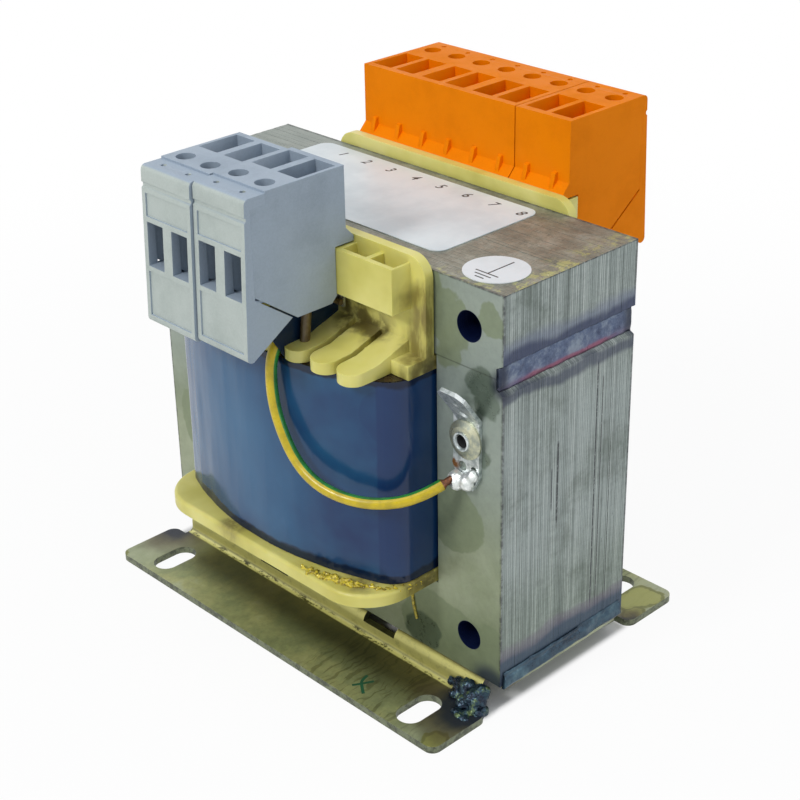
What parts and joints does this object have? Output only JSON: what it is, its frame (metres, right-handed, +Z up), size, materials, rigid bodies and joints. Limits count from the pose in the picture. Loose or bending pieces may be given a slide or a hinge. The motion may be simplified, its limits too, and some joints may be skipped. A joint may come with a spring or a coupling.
{
  "type": "chassis mount laminated transformer",
  "caption": "Laminated mains transformer, welded on a folded base plate with slotted feet, with screw terminal blocks on both sides of the coil and an earth lug on the core.",
  "frame": {"origin": "centre of the four foot slots, on the plane that the feet stand on", "axes": "+Z up through the core; +X through the lamination stack, from the grey input terminals to the orange output terminals; +Y along the 96 mm side of the laminations, away from the earth lug"},
  "size_m": [0.0922, 0.0978, 0.1024],
  "materials": {
    "zinc_plate": "yellow chromated zinc on folded steel sheet, dull, with rainbow patches",
    "lamination_steel": "varnished silicon steel sheets, satin grey-green faces, streaked cut edges",
    "weld_metal": "bare weld metal with blue temper colours",
    "nylon_yellow": "natural nylon moulding, cream yellow, slightly translucent",
    "blue_film": "polyester film tape, dark blue, glossy",
    "enamel_copper": "enamelled copper wire, wound in layers",
    "barrier_film": "pale insulating film",
    "grey_moulding": "grey polyamide, fine matt mould surface",
    "orange_moulding": "orange polyamide, fine matt mould surface",
    "clamp_steel": "zinc plated clamp parts",
    "tinned_brass": "tinned brass strip",
    "lead_sleeve": "brown insulating sleeve",
    "lug_tin": "bright tinned steel",
    "solder": "dull grey solder",
    "wire_insulation": "yellow and green insulation of the earth wire",
    "label_film": "silver white printed film with plain figures",
    "sticker_film": "white round sticker with the earth sign"
  },
  "bodies": {
    "root": {"base_plate": "zinc_plate", "coil_former": "nylon_yellow", "corner_weld": "weld_metal", "e_laminations": "lamination_steel", "earth_lug": "lug_tin", "earth_rivet": "lug_tin", "earth_sticker": "sticker_film", "earth_washer": "lug_tin", "earth_wire": "wire_insulation", "i_laminations": "lamination_steel", "input_block_1_clamp_screws": "clamp_steel", "input_block_1_clamps": "clamp_steel", "input_block_1_cover": "grey_moulding", "input_block_1_housing": "grey_moulding", "input_block_1_leads": "lead_sleeve", "input_block_1_solder_tags": "tinned_brass", "input_block_2_clamp_screws": "clamp_steel", "input_block_2_clamps": "clamp_steel", "input_block_2_cover": "grey_moulding", "input_block_2_housing": "grey_moulding", "input_block_2_leads": "lead_sleeve", "input_block_2_solder_tags": "tinned_brass", "left_foot_weld": "weld_metal", "left_seam_weld": "weld_metal", "outer_wrap": "blue_film", "output_block_six_way_clamp_screws": "clamp_steel", "output_block_six_way_clamps": "clamp_steel", "output_block_six_way_cover": "orange_moulding", "output_block_six_way_housing": "orange_moulding", "output_block_six_way_leads": "lead_sleeve", "output_block_six_way_solder_tags": "tinned_brass", "output_block_two_way_clamp_screws": "clamp_steel", "output_block_two_way_clamps": "clamp_steel", "output_block_two_way_cover": "orange_moulding", "output_block_two_way_housing": "orange_moulding", "output_block_two_way_leads": "lead_sleeve", "output_block_two_way_solder_tags": "tinned_brass", "primary_winding": "enamel_copper", "rating_label": "label_film", "right_foot_weld": "weld_metal", "right_seam_weld": "weld_metal", "secondary_winding": "enamel_copper", "solder_joint": "solder", "winding_insulation": "barrier_film"}
  },
  "joints": []
}
